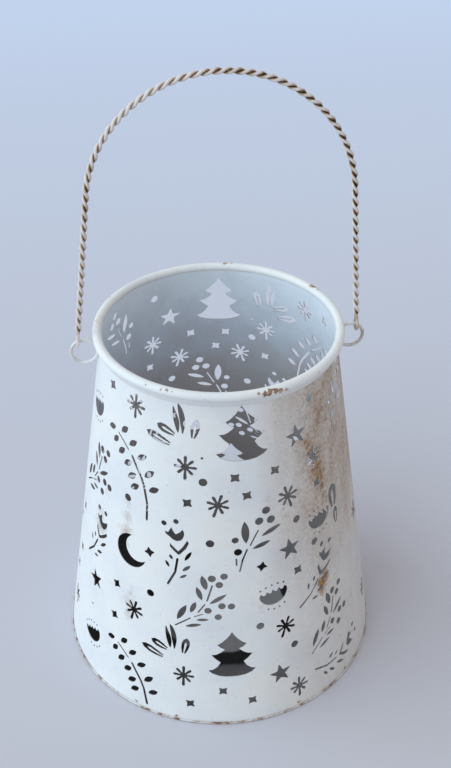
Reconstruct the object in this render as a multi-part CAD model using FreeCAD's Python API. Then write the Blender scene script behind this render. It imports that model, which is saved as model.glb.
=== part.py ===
import FreeCAD
import Part

import math
import os

from FreeCAD import Vector

# Punched tin lantern: a tapered sheet wall pierced with a winter pattern, a rolled rim,
# a base pan, two soldered wire rings and a bail twisted from two wires.
# Millimetres. +Z is up, X runs along the hinge line of the bail, and the origin is the
# middle of the base, on the surface that the lantern stands on. The front faces -Y.

# Tapered wall
sheet = 0.4
base_radius = 83.46
top_radius = 56.1
wall_height = 187.0
wall_flats = 48

# Base pan
pan_sheet = 0.4
pan_lip_height = 1.4
pan_fit = 0.05

# Rolled rim
bead_radius = 2.25
bead_lift = 0.95
bead_faces = 8
skirt_sheet = 0.4
skirt_drop = 4.6
rim_fit = 0.05

# Side seam, a plain lap
seam_width = 6.0
seam_end_gap = 0.6
seam_angle = -101.25

# Wire rings for the bail
ring_radius = 6.3
ring_wire_radius = 0.85
ring_height = 178.7
ring_seat = 0.3
ring_wire_sides = 8

# Twisted bail
strand_radius = 0.72
strand_gap = 0.03
twist_pitch = 9.6
eye_outset = 2.8
eye_clearance = 0.88
neck_length = 2.5
arch_radius = 60.0
arch_rise = 67.6
arch_sway = 1.7
strand_sides = 5
stations_per_turn = 5
eye_steps = 5

# Pierced pattern. Heights are from the surface that the lantern stands on and angles are
# in degrees round the wall from the front, positive towards +X. The punched sheet carries
# the same run of motifs twice, and every run is turned a little from the hinge line.
pattern_turn = -6.8
pattern_runs = 2
run_turn = 170.0
punch_overrun = 3.0

tree_height = 28.0
star_radius = 5.8
asterisk_radius = 5.6
diamond_radius = 2.8
dot_radius = 2.1
dot_corners = 6
berry_corners = 5
moon_radius = 9.2
moon_hollow_radius = 7.3
moon_hollow_shift = 5.0
fan_width = 15.0
tuft_height = 18.0
lone_leaf_length = 10.5
lone_leaf_width = 4.3
laurel_height = 46.0
berry_sprig_height = 34.0
rose_sprig_height = 33.0
tulip_sprig_height = 38.0


def wall_radius(height):
    """Outer radius of the tapered wall at a height, at the corners between its flats."""
    return base_radius + (top_radius - base_radius) * height / wall_height


def middle_radius(height):
    """Outer radius of the tapered wall at a height, at the middle of a flat."""
    return wall_radius(height) * math.cos(math.pi / wall_flats)


wall_lean = math.atan2(base_radius - top_radius, wall_height)


def turned(point, angle):
    """A flat point turned about the origin, in degrees."""
    swing = math.radians(angle)
    return (
        point[0] * math.cos(swing) - point[1] * math.sin(swing),
        point[0] * math.sin(swing) + point[1] * math.cos(swing),
    )


def placed(points, centre, angle):
    """Flat points turned, then moved to a centre."""
    return [
        (turned(point, angle)[0] + centre[0], turned(point, angle)[1] + centre[1])
        for point in points
    ]


# Outlines of single cut-outs, drawn flat about their own middle


def round_hole(radius, corners):
    turns = [2 * math.pi * (step + 0.5) / corners for step in range(corners)]
    return [(radius * math.cos(turn), radius * math.sin(turn)) for turn in turns]


def spiked(radii, angles):
    """Outline through one point per radius and angle."""
    return [
        (radius * math.cos(math.radians(angle)), radius * math.sin(math.radians(angle)))
        for radius, angle in zip(radii, angles)
    ]


def star_hole():
    inner_share = 0.46
    radii = [star_radius, star_radius * inner_share] * 5
    return spiked(radii, [90 + 36 * step for step in range(10)])


def asterisk_hole():
    """Eight narrow petals from one hub; the petal that points down is the longest."""
    petal_shares = [1.0, 0.98, 1.05, 0.96, 0.97, 0.88, 1.25, 0.96]
    hub_share = 0.24
    radii = []
    for share in petal_shares:
        radii += [asterisk_radius * share, asterisk_radius * hub_share]
    return spiked(radii, [22.5 * step for step in range(16)])


def diamond_hole():
    waist_share = 0.56
    radii = [diamond_radius, diamond_radius * waist_share] * 4
    return spiked(radii, [45 * step for step in range(8)])


def leaf_hole(length, width):
    """A leaf along +X from its base to its tip, about its middle."""
    return [
        (-length / 2, 0),
        (0, width / 2),
        (length / 2, 0),
        (0, -width / 2),
    ]


def tree_hole():
    """Three flared tiers over a curved foot, from the tip down the right side."""
    side_shares = [
        (0.10, 0.86), (0.26, 0.74), (0.12, 0.61), (0.20, 0.54), (0.37, 0.50),
        (0.205, 0.32), (0.27, 0.22), (0.43, 0.15), (0.22, 0.02),
    ]
    right = [(x * tree_height, (y - 0.5) * tree_height) for x, y in side_shares]
    left = [(-x, y) for x, y in reversed(right)]
    foot = (0, -tree_height / 2)
    tip = (0, tree_height / 2)
    return [tip] + right + [foot] + left


def moon_hole():
    """A crescent, open to the upper right."""
    opening = 37
    outer_steps = 8
    inner_steps = 6
    gap = moon_hollow_shift
    chord = (moon_radius**2 - moon_hollow_radius**2 + gap**2) / (2 * gap)
    outer_half = math.degrees(math.acos(chord / moon_radius))
    inner_half = math.degrees(math.acos((chord - gap) / moon_hollow_radius))
    outer = []
    for step in range(outer_steps + 1):
        turn = outer_half + (360 - 2 * outer_half) * step / outer_steps
        outer += spiked([moon_radius], [turn])
    inner = []
    for step in range(1, inner_steps):
        turn = inner_half + (360 - 2 * inner_half) * step / inner_steps
        inner += placed(spiked([moon_hollow_radius], [turn]), (gap, 0), 0)
    return placed(outer + inner[::-1], (0, 0), opening)


def fan_hole():
    """A half flower hung from its top chord: five low points above, round below."""
    outline_shares = [
        (-0.50, 0.0), (-0.42, 0.10), (-0.33, 0.01), (-0.21, 0.12), (-0.11, 0.02),
        (0.0, 0.13), (0.11, 0.02), (0.21, 0.12), (0.33, 0.01), (0.42, 0.10), (0.50, 0.0),
        (0.36, -0.32), (0.0, -0.46), (-0.36, -0.32),
    ]
    return [(x * fan_width, y * fan_width) for x, y in outline_shares]


# Motifs: lists of cut-outs about the motif's own middle


def strip(path, width):
    """A narrow slot along two or three points."""
    left = []
    right = []
    for index, point in enumerate(path):
        before = path[max(index - 1, 0)]
        after = path[min(index + 1, len(path) - 1)]
        heading = math.atan2(after[1] - before[1], after[0] - before[0])
        step_x = -math.sin(heading) * width / 2
        step_y = math.cos(heading) * width / 2
        left.append((point[0] + step_x, point[1] + step_y))
        right.append((point[0] - step_x, point[1] - step_y))
    return left + right[::-1]


def leaf_between(base, tip, width):
    """A leaf from its base to its tip."""
    length = math.hypot(tip[0] - base[0], tip[1] - base[1])
    heading = math.degrees(math.atan2(tip[1] - base[1], tip[0] - base[0]))
    middle = ((base[0] + tip[0]) / 2, (base[1] + tip[1]) / 2)
    return placed(leaf_hole(length, width), middle, heading)


def sprig(height, leaf_shares, stem_shares, berry_shares):
    """Leaves, stem slots and berries, all in shares of the sprig's height."""
    holes = []
    for x0, y0, x1, y1, width in leaf_shares:
        base = (x0 * height, y0 * height)
        tip = (x1 * height, y1 * height)
        holes.append(leaf_between(base, tip, width * height))
    for width, path in stem_shares:
        holes.append(strip([(x * height, y * height) for x, y in path], width * height))
    for x, y, radius in berry_shares:
        berry = round_hole(radius * height, berry_corners)
        holes.append(placed(berry, (x * height, y * height), 0))
    return holes


def split_leaf(base, tip, width):
    """A leaf whose middle rib stays, so the cut-out is a hairpin round it."""
    length = math.hypot(tip[0] - base[0], tip[1] - base[1])
    heading = math.degrees(math.atan2(tip[1] - base[1], tip[0] - base[0]))
    outline_shares = [
        (0.0, 0.16), (0.62, 0.50), (1.0, 0.0), (0.62, -0.50), (0.0, -0.16),
        (0.0, -0.04), (0.70, -0.14), (0.70, 0.14), (0.0, 0.04),
    ]
    points = [(along * length, across * width) for along, across in outline_shares]
    return placed(points, base, heading)


def split_halves(base, tip, width):
    """A leaf cut as two slender halves with the rib standing between them."""
    length = math.hypot(tip[0] - base[0], tip[1] - base[1])
    heading = math.degrees(math.atan2(tip[1] - base[1], tip[0] - base[0]))
    half_shares = [(0.0, 0.08), (0.60, 0.50), (1.0, 0.12), (0.60, 0.07)]
    upper = [(along * length, across * width) for along, across in half_shares]
    lower = [(x, -y) for x, y in reversed(upper)]
    return [placed(upper, base, heading), placed(lower, base, heading)]


def tuft():
    """Four split leaves that spread from one foot: base, tip and width of each."""
    halves_shares = (0.18, 0.10, 0.01, 0.88, 0.36)
    split_shares = [
        (0.48, 0.02, 0.57, 0.56, 0.24),
        (0.0, 0.03, -0.48, 0.23, 0.24),
        (-0.11, -0.27, -0.79, -0.05, 0.24),
    ]
    size = tuft_height
    x0, y0, x1, y1, width = [share * size for share in halves_shares]
    holes = split_halves((x0, y0), (x1, y1), width)
    for shares in split_shares:
        x0, y0, x1, y1, width = [share * size for share in shares]
        holes.append(split_leaf((x0, y0), (x1, y1), width))
    return holes


def lone_leaf():
    """One upright split leaf, about its foot."""
    return [split_leaf((0, 0), (0, lone_leaf_length), lone_leaf_width)]


def laurel():
    """A curved stem in two slots, with round-bellied leaves on both sides."""
    leaf_shares = [
        (-0.22, 0.16, -0.33, 0.12, 0.065),
        (-0.12, 0.16, -0.03, 0.25, 0.065),
        (0.00, 0.06, 0.10, 0.145, 0.060),
        (-0.16, 0.08, -0.24, -0.01, 0.060),
        (-0.05, -0.01, -0.15, -0.105, 0.070),
        (0.05, -0.115, -0.05, -0.195, 0.070),
        (0.12, -0.235, 0.015, -0.32, 0.070),
        (0.17, -0.35, 0.06, -0.43, 0.070),
        (0.12, -0.05, 0.24, 0.03, 0.065),
        (0.23, -0.22, 0.34, -0.11, 0.070),
        (0.29, -0.37, 0.41, -0.295, 0.070),
    ]
    stem_shares = [
        (0.016, [(-0.16, 0.12), (-0.01, 0.0)]),
        (0.022, [(0.055, -0.05), (0.20, -0.27), (0.28, -0.50), (0.295, -0.72)]),
    ]
    return sprig(laurel_height, leaf_shares, stem_shares, [])


def berry_sprig():
    leaf_shares = [
        (-0.02, 0.07, -0.04, 0.44, 0.115),
        (0.20, 0.16, 0.50, 0.285, 0.075),
        (0.065, -0.03, 0.335, 0.055, 0.070),
        (-0.165, -0.27, -0.165, -0.17, 0.030),
    ]
    stem_shares = [
        (0.022, [(0.035, 0.035), (0.155, 0.265)]),
        (0.026, [(-0.01, -0.03), (-0.08, -0.20), (-0.12, -0.39)]),
    ]
    berry_shares = [
        (0.275, 0.565, 0.064), (0.17, 0.41, 0.062), (0.345, 0.40, 0.062),
        (-0.175, 0.145, 0.050), (-0.14, -0.055, 0.058),
    ]
    return sprig(berry_sprig_height, leaf_shares, stem_shares, berry_shares)


def rose_sprig():
    """A spreading sprig with seven hips."""
    leaf_shares = [
        (0.01, 0.24, -0.06, 0.50, 0.100),
        (-0.05, 0.06, -0.13, 0.295, 0.080),
        (0.06, 0.0, 0.31, 0.18, 0.070),
        (-0.22, -0.19, -0.14, 0.02, 0.080),
        (-0.43, -0.345, -0.28, -0.06, 0.090),
        (-0.30, -0.45, -0.05, -0.385, 0.062),
        (-0.14, -0.31, 0.055, -0.29, 0.050),
    ]
    stem_shares = [
        (0.028, [(0.025, 0.055), (0.095, 0.33)]),
        (0.022, [(-0.105, -0.165), (-0.01, -0.015)]),
        (0.016, [(-0.165, -0.255), (-0.035, -0.19)]),
        (0.024, [(-0.455, -0.46), (-0.225, -0.29)]),
    ]
    berry_shares = [
        (0.09, 0.455, 0.061), (0.265, 0.50, 0.056), (0.20, 0.35, 0.055), (0.04, -0.125, 0.056),
        (0.24, -0.035, 0.057), (0.38, -0.04, 0.056), (0.19, -0.235, 0.053),
    ]
    return sprig(rose_sprig_height, leaf_shares, stem_shares, berry_shares)


def tulip_sprig():
    """An open tulip over a forked pair of leaves and a leafy stem."""
    size = tulip_sprig_height
    leaf_shares = [
        (0.08, -0.095, 0.17, 0.06, 0.050),
        (-0.075, -0.11, -0.12, -0.035, 0.042),
        (0.06, -0.255, 0.16, -0.155, 0.048),
        (0.025, -0.37, 0.12, -0.30, 0.040),
        (-0.115, -0.235, -0.17, -0.14, 0.042),
    ]
    stem_shares = [(0.034, [(0.0, -0.085), (-0.035, -0.30), (-0.13, -0.50)])]
    berry_shares = [(-0.20, 0.41, 0.034), (-0.04, 0.47, 0.038)]
    tulip_shares = [
        (-0.19, 0.30), (-0.13, 0.29), (-0.10, 0.375), (-0.04, 0.28), (0.045, 0.37),
        (0.07, 0.30), (0.03, 0.20), (-0.03, 0.175), (-0.12, 0.225),
    ]
    fork_shares = [
        (-0.12, 0.135), (0.0, 0.03), (0.11, 0.22), (0.135, 0.20), (0.115, 0.135),
        (0.02, -0.02), (-0.02, -0.01), (-0.10, 0.08),
    ]
    holes = sprig(size, leaf_shares, stem_shares, berry_shares)
    holes.append([(x * size, y * size) for x, y in tulip_shares])
    holes.append([(x * size, y * size) for x, y in fork_shares])
    return holes


# One run of the pattern: angle round the wall, height as a share of the wall's and the
# tilt of each motif. Motifs that a hidden side carries follow the ones that can be seen.
motif_run_shares = [
    ([tree_hole()], [(10.4, 0.974, 0), (4.9, 0.313, 0)]),
    (tuft(), [(-19.3, 0.885, 0), (-19.6, 0.233, 0)]),
    (lone_leaf(), [(56.0, 0.594, 0), (57.0, 0.520, 0)]),
    (laurel(), [(-42.4, 0.798, 0), (-35.9, 0.151, 0)]),
    (berry_sprig(), [(11.7, 0.572, 0), (66.0, 0.855, 0)]),
    (rose_sprig(), [(-5.1, 0.404, 0), (48.0, 0.241, 0), (-64.2, 0.654, 0)]),
    (
        tulip_sprig(),
        [(-16.1, 0.549, 0), (-58.0, 0.466, -19), (44.2, 0.405, -34), (51.8, 0.080, -86)],
    ),
    ([moon_hole()], [(-37.6, 0.506, 0)]),
    ([fan_hole()], [(21.6, 0.416, 9), (-57.2, 0.140, 26), (46.0, 0.588, -25), (-71.0, 0.845, 20)]),
    (
        [asterisk_hole()],
        [
            (-39.8, 0.931, 0), (-14.1, 0.804, 0), (-0.2, 0.703, -18), (30.0, 0.695, 15),
            (45.1, 0.771, 0), (-34.5, 0.323, -12), (26.1, 0.296, -20), (-13.0, 0.159, 0),
            (30.5, 0.073, 0), (-77.0, 0.150, 10), (78.0, 0.455, 0), (80.0, 0.150, -12),
        ],
    ),
    (
        [star_hole()],
        [(36.2, 0.855, 5), (29.7, 0.536, 6), (-57.7, 0.320, 22), (23.1, 0.142, 7)],
    ),
    (
        [diamond_hole()],
        [
            (-56.8, 0.943, 63), (7.0, 0.779, 45), (24.6, 0.781, 40), (11.9, 0.725, 52),
            (-12.9, 0.703, 53), (46.1, 0.688, 48), (-28.7, 0.528, 15), (17.3, 0.507, 77),
            (32.8, 0.460, 48), (-44.0, 0.373, 66), (-44.2, 0.266, 66), (1.5, 0.115, 45),
            (12.1, 0.075, 50), (-10.3, 0.065, 52), (-78.0, 0.471, 60), (-84.0, 0.412, 50),
            (-76.0, 0.332, 60), (-80.0, 0.251, 45),
        ],
    ),
    (
        [round_hole(dot_radius, dot_corners)],
        [
            (-6.4, 0.767, 0), (-3.4, 0.590, 0), (-41.0, 0.660, 0), (-27.4, 0.401, 0),
            (15.8, 0.320, 0), (29.5, 0.224, 0), (33.7, 0.616, 0), (42.2, 0.519, 0),
            (45.6, 0.936, 0),
        ],
    ),
]


# Punches: each cut-out is driven square through the wall at its own place


def punch(outline, angle, height):
    """A prism for one flat outline of a motif that sits at an angle and a height."""
    slant_share = 1 / math.sin(wall_lean)
    anchor_reach = wall_radius(height) * slant_share
    middle_x = sum(x for x, y in outline) / len(outline)
    middle_y = sum(y for x, y in outline) / len(outline)
    reach = math.hypot(middle_x, anchor_reach - middle_y)
    drift = math.atan2(middle_x, anchor_reach - middle_y)
    place_angle = math.radians(angle) + drift * slant_share
    place_height = (base_radius * slant_share - reach) * math.cos(wall_lean)
    radial = Vector(math.sin(place_angle), -math.cos(place_angle), 0)
    sideways = Vector(math.cos(place_angle), math.sin(place_angle), 0)
    upward = Vector(0, 0, math.cos(wall_lean)) - radial * math.sin(wall_lean)
    square = Vector(0, 0, math.sin(wall_lean)) + radial * math.cos(wall_lean)
    centre = radial * wall_radius(place_height) + Vector(0, 0, place_height)
    start = centre - square * (sheet + punch_overrun)
    corners = []
    for x, y in outline:
        across, along = turned((x - middle_x, y - middle_y), -math.degrees(drift))
        corners.append(start + sideways * across + upward * along)
    face = Part.Face(Part.makePolygon(corners + [corners[0]]))
    return face.extrude(square * (sheet + 2 * punch_overrun))


def punches():
    """Every punch of both runs of the pattern."""
    tools = []
    for outlines, places in motif_run_shares:
        for angle, height_share, tilt in places:
            for run in range(pattern_runs):
                turn = angle + pattern_turn + run_turn * run
                for outline in outlines:
                    flat = placed(outline, (0, 0), tilt)
                    tools.append(punch(flat, turn, height_share * wall_height))
    return tools


def flats_ring(radius, height):
    """The closed outline of the wall's flats at one height."""
    corners = []
    for step in range(wall_flats):
        turn = 2 * math.pi * step / wall_flats
        corners.append(Vector(radius * math.cos(turn), radius * math.sin(turn), height))
    return Part.makePolygon(corners + [corners[0]])


def tapered_body(inset):
    """The solid inside the wall's outer face, or inside a face set in from it."""
    rings = [
        flats_ring(wall_radius(height) - inset, height)
        for height in (pan_sheet, wall_height)
    ]
    return Part.makeLoft(rings, True, True)


def seam_strip():
    """The outer lap of the side seam, one sheet thick, from the pan to the rim."""
    low = pan_lip_height + seam_end_gap
    high = wall_height - skirt_drop - seam_end_gap
    turn = math.radians(seam_angle)
    outward = Vector(math.sin(turn), -math.cos(turn), 0)
    sideways = Vector(math.cos(turn), math.sin(turn), 0)
    corners = []
    for height, offset in ((low, -sheet / 2), (low, sheet), (high, sheet), (high, -sheet / 2)):
        corners.append(outward * (middle_radius(height) + offset) + Vector(0, 0, height))
    start = [corner - sideways * seam_width / 2 for corner in corners]
    face = Part.Face(Part.makePolygon(start + [start[0]]))
    return face.extrude(sideways * seam_width)


def pierced_wall():
    wall = tapered_body(0).cut(tapered_body(sheet))
    wall = wall.fuse(seam_strip())
    return wall.cut(punches()).removeSplitter()


def turned_profile(points):
    """A full revolve about Z of a closed outline in the XZ plane."""
    face = Part.Face(Part.makePolygon(points + [points[0]]))
    return face.revolve(Vector(0, 0, 0), Vector(0, 0, 1), 360)


def base_pan():
    lip_inner = base_radius + pan_fit
    lip_outer = lip_inner + pan_sheet
    return turned_profile([
        Vector(0, 0, 0),
        Vector(lip_outer, 0, 0),
        Vector(lip_outer, 0, pan_lip_height),
        Vector(lip_inner, 0, pan_lip_height),
        Vector(lip_inner, 0, pan_sheet),
        Vector(0, 0, pan_sheet),
    ])


def rolled_rim():
    """A bead rolled outwards over the wall's top edge, with a skirt down its outside."""
    bead_height = wall_height + bead_lift
    half_seat = math.sqrt(bead_radius**2 - bead_lift**2)
    bead_reach = top_radius - sheet + half_seat
    skirt_low = wall_height - skirt_drop
    skirt_inner = wall_radius(skirt_low) + rim_fit
    skirt_outer = skirt_inner + skirt_sheet
    start_turn = math.pi + math.asin(bead_lift / bead_radius)
    end_turn = -math.pi + math.acos((bead_reach - skirt_outer) / bead_radius)
    points = []
    for step in range(bead_faces + 1):
        turn = start_turn + (end_turn - start_turn) * step / bead_faces
        reach = bead_reach + bead_radius * math.cos(turn)
        points.append(Vector(reach, 0, bead_height + bead_radius * math.sin(turn)))
    points += [
        Vector(skirt_outer, 0, skirt_low),
        Vector(skirt_inner, 0, skirt_low),
        Vector(top_radius + rim_fit, 0, wall_height),
    ]
    return turned_profile(points)


ring_reach = wall_radius(ring_height) + ring_radius + ring_wire_radius - ring_seat
hinge_reach = ring_reach + eye_outset
hinge_height = ring_height + math.sqrt(ring_radius**2 - eye_outset**2)
eye_radius = ring_wire_radius + eye_clearance + strand_radius
strand_corner_radius = strand_radius / math.sqrt(math.cos(math.pi / strand_sides))
lay_share = (1 + math.cos(math.pi / stations_per_turn)) / 2
lay_radius = (strand_corner_radius + strand_gap / 2) / lay_share


def bail_rings():
    """Two wire rings in the plane of the bail, each soldered to the wall at its root."""
    rings = []
    for side in (-1, 1):
        centre = Vector(side * ring_reach, 0, ring_height)
        section = []
        for step in range(ring_wire_sides):
            turn = 2 * math.pi * (step + 0.5) / ring_wire_sides
            across = ring_radius + ring_wire_radius * math.cos(turn)
            section.append(
                centre + Vector(side * across, ring_wire_radius * math.sin(turn), 0)
            )
        face = Part.Face(Part.makePolygon(section + [section[0]]))
        ring = face.revolve(centre, Vector(0, 1, 0), 360)
        rings.append(ring.cut(tapered_body(0)))
    return Part.makeCompound(rings)


# Bail: two wires that part into an eye at each end and twist round each other between


def bail_path():
    """The bail's length between its necks, and a finder for points on its middle line."""
    centre = (arch_sway, hinge_height + arch_rise)
    neck = eye_radius + neck_length
    legs = []
    for side in (-1, 1):
        foot = (side * hinge_reach, hinge_height)
        span = math.hypot(foot[0] - centre[0], foot[1] - centre[1])
        bearing = math.atan2(foot[1] - centre[1], foot[0] - centre[0])
        touch = bearing + side * math.acos(arch_radius / span)
        legs.append((foot, math.sqrt(span**2 - arch_radius**2) - neck, touch))
    (left_foot, left_leg, left_touch), (right_foot, right_leg, right_touch) = legs
    arc = arch_radius * ((left_touch - right_touch) % (2 * math.pi))
    length = left_leg + arc + right_leg

    def along(foot, heading, distance):
        return (
            foot[0] + distance * math.cos(heading),
            foot[1] + distance * math.sin(heading),
        )

    def at(distance):
        """Place and heading in the XZ plane at a distance from the left neck."""
        if distance < left_leg:
            heading = left_touch - math.pi / 2
            return along(left_foot, heading, distance + neck), heading
        if distance > left_leg + arc:
            heading = right_touch - math.pi / 2
            return along(right_foot, heading, distance - length - neck), heading
        turn = left_touch - (distance - left_leg) / arch_radius
        return along(centre, turn, arch_radius), turn - math.pi / 2

    return length, at


def eye_points(side, front):
    """Half of one eye, from its lowest point up to where the wires come together."""
    eye_sweep = 150
    points = []
    for step in range(eye_steps + 1):
        turn = math.radians(eye_sweep * step / eye_steps - 90)
        across = front * eye_radius * math.cos(turn)
        rise = eye_radius * math.sin(turn)
        points.append(Vector(side * hinge_reach, across, hinge_height + rise))
    return points


def strand_points(front):
    """The middle line of one wire, from the left eye over the arch to the right eye.

    The twist is left-handed. The two wires take turns at their stations, so that neither
    cuts the corner of its lay where the other does.
    """
    length, at = bail_path()
    turns = round(length / twist_pitch)
    count = turns * stations_per_turn
    shift_share = 0 if front < 0 else 0.5
    points = eye_points(-1, front)
    for step in range(count + (1 if front < 0 else 0)):
        distance = length * (step + shift_share) / count
        (x, z), heading = at(distance)
        phase = 2 * math.pi * turns * distance / length
        across = front * lay_radius * math.cos(phase)
        lift = -front * lay_radius * math.sin(phase)
        outward = Vector(-math.sin(heading), 0, math.cos(heading))
        points.append(Vector(x, across, z) + outward * lift)
    return points + eye_points(1, front)[::-1]


def wire_along(points, corner_radius, sides, start, end):
    """A wire of few sides along a line of points, square to its two end headings."""
    headings = [after - before for before, after in zip(points, points[2:])]
    normal = Vector(1, 0, 0)
    sections = []
    for point, heading in zip(points, [start] + headings + [end]):
        heading.normalize()
        normal = normal - heading * normal.dot(heading)
        normal.normalize()
        other = heading.cross(normal)
        corners = []
        for step in range(sides):
            turn = 2 * math.pi * step / sides
            spoke = normal * math.cos(turn) + other * math.sin(turn)
            corners.append(point + spoke * corner_radius)
        sections.append(Part.makePolygon(corners + [corners[0]]))
    return Part.makeLoft(sections, True, True)


def bail_strand(front):
    start = Vector(0, front, 0)
    end = Vector(0, -front, 0)
    path = strand_points(front)
    return wire_along(path, strand_corner_radius, strand_sides, start, end)


nodes = {
    "pierced_wall": pierced_wall,
    "base_pan": base_pan,
    "rolled_rim": rolled_rim,
    "bail_rings": bail_rings,
    "bail_strand_front": lambda: bail_strand(-1),
    "bail_strand_back": lambda: bail_strand(1),
}

os.makedirs("parts", exist_ok=True)
for name, make in nodes.items():
    make().exportStep("parts/" + name + ".step")
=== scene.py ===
import math

import bpy
import numpy as np
from mathutils import Matrix, Vector


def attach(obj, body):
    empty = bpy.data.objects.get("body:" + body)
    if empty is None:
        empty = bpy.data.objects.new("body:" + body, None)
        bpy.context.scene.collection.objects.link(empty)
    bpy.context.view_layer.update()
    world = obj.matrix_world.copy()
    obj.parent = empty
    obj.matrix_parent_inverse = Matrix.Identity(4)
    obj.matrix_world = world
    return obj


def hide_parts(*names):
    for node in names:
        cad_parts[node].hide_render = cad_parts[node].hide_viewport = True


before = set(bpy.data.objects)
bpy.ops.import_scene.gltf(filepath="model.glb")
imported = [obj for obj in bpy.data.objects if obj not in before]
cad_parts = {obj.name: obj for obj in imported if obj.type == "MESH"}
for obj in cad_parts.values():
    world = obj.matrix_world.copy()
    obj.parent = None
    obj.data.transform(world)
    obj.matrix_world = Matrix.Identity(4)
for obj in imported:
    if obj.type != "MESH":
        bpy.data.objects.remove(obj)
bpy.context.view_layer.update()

# A tapered tin lantern with a pierced winter pattern and a bail of two twisted wires.
# Metres, in the frame of the solid model: +Z up, X along the bail's hinge, the front at -Y.

mm = 0.001

# Tapered wall
sheet = 0.4 * mm
base_radius = 83.46 * mm
top_radius = 56.1 * mm
wall_height = 187.0 * mm
seam_angle = -101.25
seam_width = 6.0 * mm
seam_rise = 0.36 * mm
seam_gap = 0.6 * mm
seam_edge = 0.15 * mm

# Rim and pan
bead_radius = 2.25 * mm
bead_lift = 0.95 * mm
skirt_sheet = 0.4 * mm
skirt_drop = 4.6 * mm
skirt_edge = 0.12 * mm
fit = 0.05 * mm
pan_sheet = 0.4 * mm
pan_lip_height = 1.4 * mm
pan_edge = 0.15 * mm
pan_centre = 0.01 * mm

# Bail and its rings
ring_radius = 6.3 * mm
ring_wire_radius = 0.85 * mm
ring_height = 178.7 * mm
ring_seat = 0.3 * mm
solder_size = (0.9 * mm, 1.35 * mm, 2.6 * mm)
solder_out = 0.25 * mm
strand_radius = 0.78 * mm
lay_radius = 0.81 * mm
twist_pitch = 9.6 * mm
eye_outset = 2.8 * mm
eye_radius = 2.45 * mm
eye_turn = 150
neck_length = 2.5 * mm
arch_radius = 60.0 * mm
arch_rise = 67.6 * mm
arch_sway = 1.7 * mm

# Fineness of the meshes
wall_bends = 120
round_steps = 144
bead_steps = 24
stations_per_turn = 14
eye_steps = 12
path_samples = 1200
ring_voxel = 0.16 * mm
merge_gap = 0.004 * mm
cut_gap = 0.0005 * mm

# Pierced pattern: angles are degrees round the wall from the front, heights are shares
pattern_turn = -6.8
pattern_runs = 2
run_turn = 170.0

wall_lean = math.atan2(base_radius - top_radius, wall_height)
slant_share = 1 / math.sin(wall_lean)
ring_reach = (
    base_radius
    + (top_radius - base_radius) * ring_height / wall_height
    + ring_radius
    + ring_wire_radius
    - ring_seat
)
hinge_reach = ring_reach + eye_outset
hinge_height = ring_height + math.sqrt(ring_radius**2 - eye_outset**2)


def wall_radius(height):
    return base_radius + (top_radius - base_radius) * height / wall_height


# Outlines of the cut-outs, in millimetres about their own middle


def turned(points, angle, centre=(0, 0)):
    """Flat points turned by degrees and moved to a centre."""
    c = math.cos(math.radians(angle))
    s = math.sin(math.radians(angle))
    return [(x * c - y * s + centre[0], x * s + y * c + centre[1]) for x, y in points]


def softened(points, steps=4):
    """A closed outline drawn smoothly through its points."""
    out = []
    count = len(points)
    for i in range(count):
        p0, p1, p2, p3 = (np.array(points[(i + k - 1) % count], float) for k in range(4))
        for step in range(steps):
            t = step / steps
            out.append(tuple(
                0.5 * (2 * p1 + (p2 - p0) * t + (2 * p0 - 5 * p1 + 4 * p2 - p3) * t**2
                       + (3 * p1 - p0 - 3 * p2 + p3) * t**3)
            ))
    return out


def dot(x, y, radius, corners=14):
    """A round hole."""
    turns = [2 * math.pi * k / corners for k in range(corners)]
    return [(x + radius * math.cos(t), y + radius * math.sin(t)) for t in turns]


def leaf(x0, y0, x1, y1, width, steps=7):
    """A full leaf from its base to its tip, blunt at both."""
    length = math.hypot(x1 - x0, y1 - y0)
    heading = math.degrees(math.atan2(y1 - y0, x1 - x0))
    side = []
    for k in range(1, steps):
        t = k / steps
        side.append((length * t, width / 2 * math.sin(math.pi * t) ** 0.75))
    outline = [(0, 0)] + side + [(length, 0)] + [(x, -y) for x, y in reversed(side)]
    return turned(outline[::-1], heading, (x0, y0))


def slot(width, *path):
    """A narrow slot along a few points, with round ends."""
    left = []
    right = []
    for i, (x, y) in enumerate(path):
        ax, ay = path[max(i - 1, 0)]
        bx, by = path[min(i + 1, len(path) - 1)]
        run = math.hypot(bx - ax, by - ay)
        nx, ny = -(by - ay) / run, (bx - ax) / run
        left.append((x + nx * width / 2, y + ny * width / 2))
        right.append((x - nx * width / 2, y - ny * width / 2))
    (x0, y0), (x1, y1) = path[0], path[1]
    run = math.hypot(x1 - x0, y1 - y0)
    start = (x0 - (x1 - x0) / run * width / 2, y0 - (y1 - y0) / run * width / 2)
    (x0, y0), (x1, y1) = path[-2], path[-1]
    run = math.hypot(x1 - x0, y1 - y0)
    end = (x1 + (x1 - x0) / run * width / 2, y1 + (y1 - y0) / run * width / 2)
    return [start] + right + [end] + left[::-1]


def star():
    """Five points, each a little blunt."""
    outline = []
    for k in range(5):
        axis = 90 + 72 * k
        for turn, reach in ((-2.5, 5.8), (2.5, 5.8), (36, 2.6)):
            a = math.radians(axis + turn)
            outline.append((reach * math.cos(a), reach * math.sin(a)))
    return outline


def snowflake():
    """Eight narrow blunt petals from one hub; the one that points down is the longest."""
    reaches = [5.5, 5.4, 5.9, 5.3, 5.4, 5.0, 6.9, 5.2]
    outline = []
    for k, reach in enumerate(reaches):
        arm = [(1.75, -0.6), (reach - 1.0, -0.82), (reach, -0.5),
               (reach, 0.5), (reach - 1.0, 0.82), (1.75, 0.6)]
        outline += turned(arm, 45 * k)
    return outline


def diamond():
    """A square whose sides bow inwards between four sharp tips."""
    outline = []
    for k in range(4):
        for turn, reach in ((0, 2.95), (14, 2.3), (33, 1.72), (57, 1.72), (76, 2.3)):
            a = math.radians(90 * k + turn)
            outline.append((reach * math.cos(a), reach * math.sin(a)))
    return outline


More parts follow.
